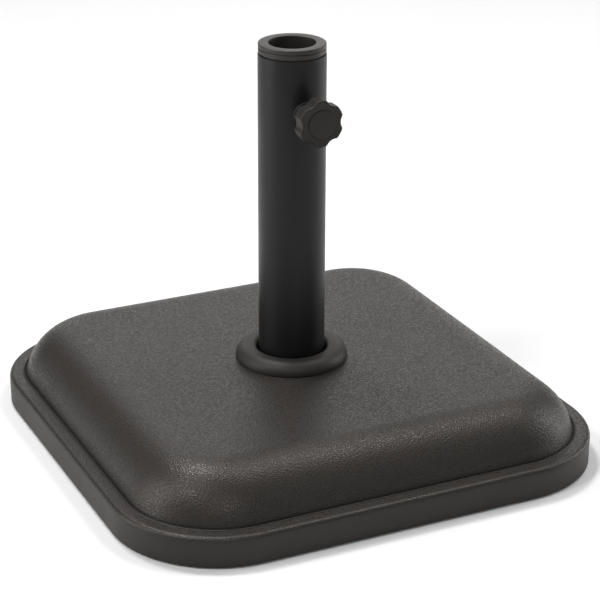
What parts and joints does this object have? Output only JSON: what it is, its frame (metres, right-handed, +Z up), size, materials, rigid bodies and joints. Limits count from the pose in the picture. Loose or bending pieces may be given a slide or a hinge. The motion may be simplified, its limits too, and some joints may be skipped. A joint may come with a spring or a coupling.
{
  "type": "parasol base",
  "caption": "Square weighted parasol base with a soft domed shell, an upright clamping tube with reducer rings, a loose collar ring and a lobed clamping knob.",
  "frame": {"origin": "on the floor under the tube's axis: the centre of the underside of the four feet", "axes": "+Z up along the tube, the way a pole leaves its bore; the clamping knob points to -Y; +X to the right when facing the knob"},
  "size_m": [0.42, 0.42, 0.3404],
  "materials": {
    "shell_plastic": "satin",
    "concrete": "matte",
    "cover_plastic": "matte",
    "zinc_steel": "satin",
    "foot_rubber": "matte",
    "tube_paint": "satin",
    "collar_plastic": "satin",
    "reducer_plastic": "satin",
    "knob_plastic": "satin",
    "pad_plastic": "satin"
  },
  "bodies": {
    "base": {"base_shell": "shell_plastic", "concrete_fill": "concrete", "bottom_cover": "cover_plastic", "cover_screws": "zinc_steel", "foot_pad_front_left": "foot_rubber", "foot_pad_front_right": "foot_rubber", "foot_pad_back_left": "foot_rubber", "foot_pad_back_right": "foot_rubber", "pole_tube": "tube_paint", "tube_socket": "cover_plastic", "tube_foot_plate": "tube_paint", "tube_foot_nut": "zinc_steel", "fixing_bolt": "zinc_steel", "fixing_washer": "zinc_steel", "spring_washer": "zinc_steel", "knob_boss": "tube_paint"},
    "tip_pad": {"knob_tip_pad": "pad_plastic"},
    "knob": {"knob_head": "knob_plastic", "knob_cap": "knob_plastic", "knob_screw": "zinc_steel"},
    "outer_ring": {"outer_reducer": "reducer_plastic"},
    "inner_ring": {"inner_reducer": "reducer_plastic"},
    "collar": {"collar_ring": "collar_plastic"}
  },
  "joints": [
    {"name": "screw_advance", "type": "slide", "parent": "base", "child": "tip_pad", "axis": [0, 1, 0], "range_m": [0, 0.00626]},
    {"name": "knob_turn", "type": "hinge", "parent": "tip_pad", "child": "knob", "pos_m": [0, -0.05, 0.2874], "axis": [0, 1, 0], "range_deg": [0, 1800]},
    {"name": "outer_reducer_lift", "type": "slide", "parent": "base", "child": "outer_ring", "axis": [0, 0, 1], "range_m": [0, 0.045]},
    {"name": "inner_reducer_lift", "type": "slide", "parent": "outer_ring", "child": "inner_ring", "axis": [0, 0, 1], "range_m": [0, 0.05]},
    {"name": "collar_lift", "type": "slide", "parent": "base", "child": "collar", "axis": [0, 0, 1], "range_m": [0, 0.188]}
  ],
  "couplings": [
    {"joint": "screw_advance", "follows": "knob_turn", "m_per_rad": 0.00019894}
  ]
}
